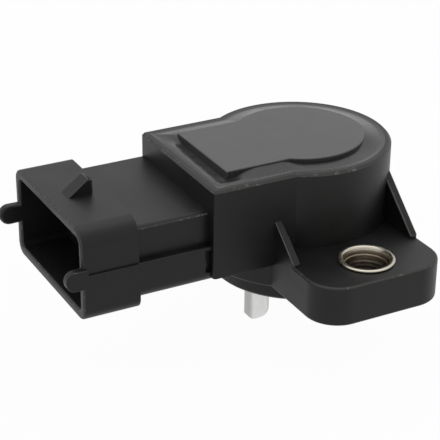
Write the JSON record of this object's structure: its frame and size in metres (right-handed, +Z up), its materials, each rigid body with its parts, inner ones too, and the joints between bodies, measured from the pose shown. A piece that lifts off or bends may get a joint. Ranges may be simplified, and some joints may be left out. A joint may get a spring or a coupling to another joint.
{
  "type": "throttle position sensor",
  "caption": "Rotary throttle position sensor: black moulded body with a sealed cover, a lever-driven rotor, mounting ears with metal sleeves and a shrouded connector.",
  "frame": {"origin": "on the shaft's axis, in the face that the ears stand on the throttle body with", "axes": "+Z up along the shaft's axis towards the cover, -X out of the connector's mouth, and the two ears along -Y and +Y"},
  "size_m": [0.0648, 0.0572, 0.0329],
  "materials": {
    "housing_plastic": "fine moulded texture",
    "cover_plastic": "fine moulded texture",
    "sealing_compound": "glossy poured compound",
    "sleeve_metal": "turned and plated",
    "terminal_metal": "tinned",
    "board_laminate": "satin laminate",
    "resistor_ink": "printed ink",
    "conductor_ink": "printed silver ink",
    "bush_bronze": "sintered",
    "seal_rubber": "smooth rubber",
    "shaft_steel": "ground",
    "lever_steel": "bright plated",
    "carrier_plastic": "natural nylon",
    "wiper_metal": "stamped spring strip",
    "spring_steel": "drawn wire"
  },
  "bodies": {
    "body": {"housing": "housing_plastic", "cover": "cover_plastic", "sealing_compound": "sealing_compound", "front_sleeve": "sleeve_metal", "rear_sleeve": "sleeve_metal", "terminal_1": "terminal_metal", "terminal_2": "terminal_metal", "terminal_3": "terminal_metal", "rivet_1": "terminal_metal", "rivet_2": "terminal_metal", "rivet_3": "terminal_metal", "resistor_board": "board_laminate", "resistor_track": "resistor_ink", "collector_track": "conductor_ink", "bearing_bush": "bush_bronze", "shaft_seal": "seal_rubber", "return_spring": "spring_steel"},
    "rotor": {"shaft": "shaft_steel", "drive_lever": "lever_steel", "thrust_washer": "carrier_plastic", "wiper_carrier": "carrier_plastic", "wiper_plate": "wiper_metal", "outer_brush": "wiper_metal", "inner_brush": "wiper_metal", "retaining_ring": "spring_steel"}
  },
  "joints": [
    {"name": "rotor_turn", "type": "hinge", "parent": "body", "child": "rotor", "pos_m": [0, 0, 0], "axis": [0, 0, 1], "range_deg": [0, 95], "stiffness_Nm_per_rad": 0.005, "springref_deg": -34.38, "deforming": ["return_spring"]}
  ]
}
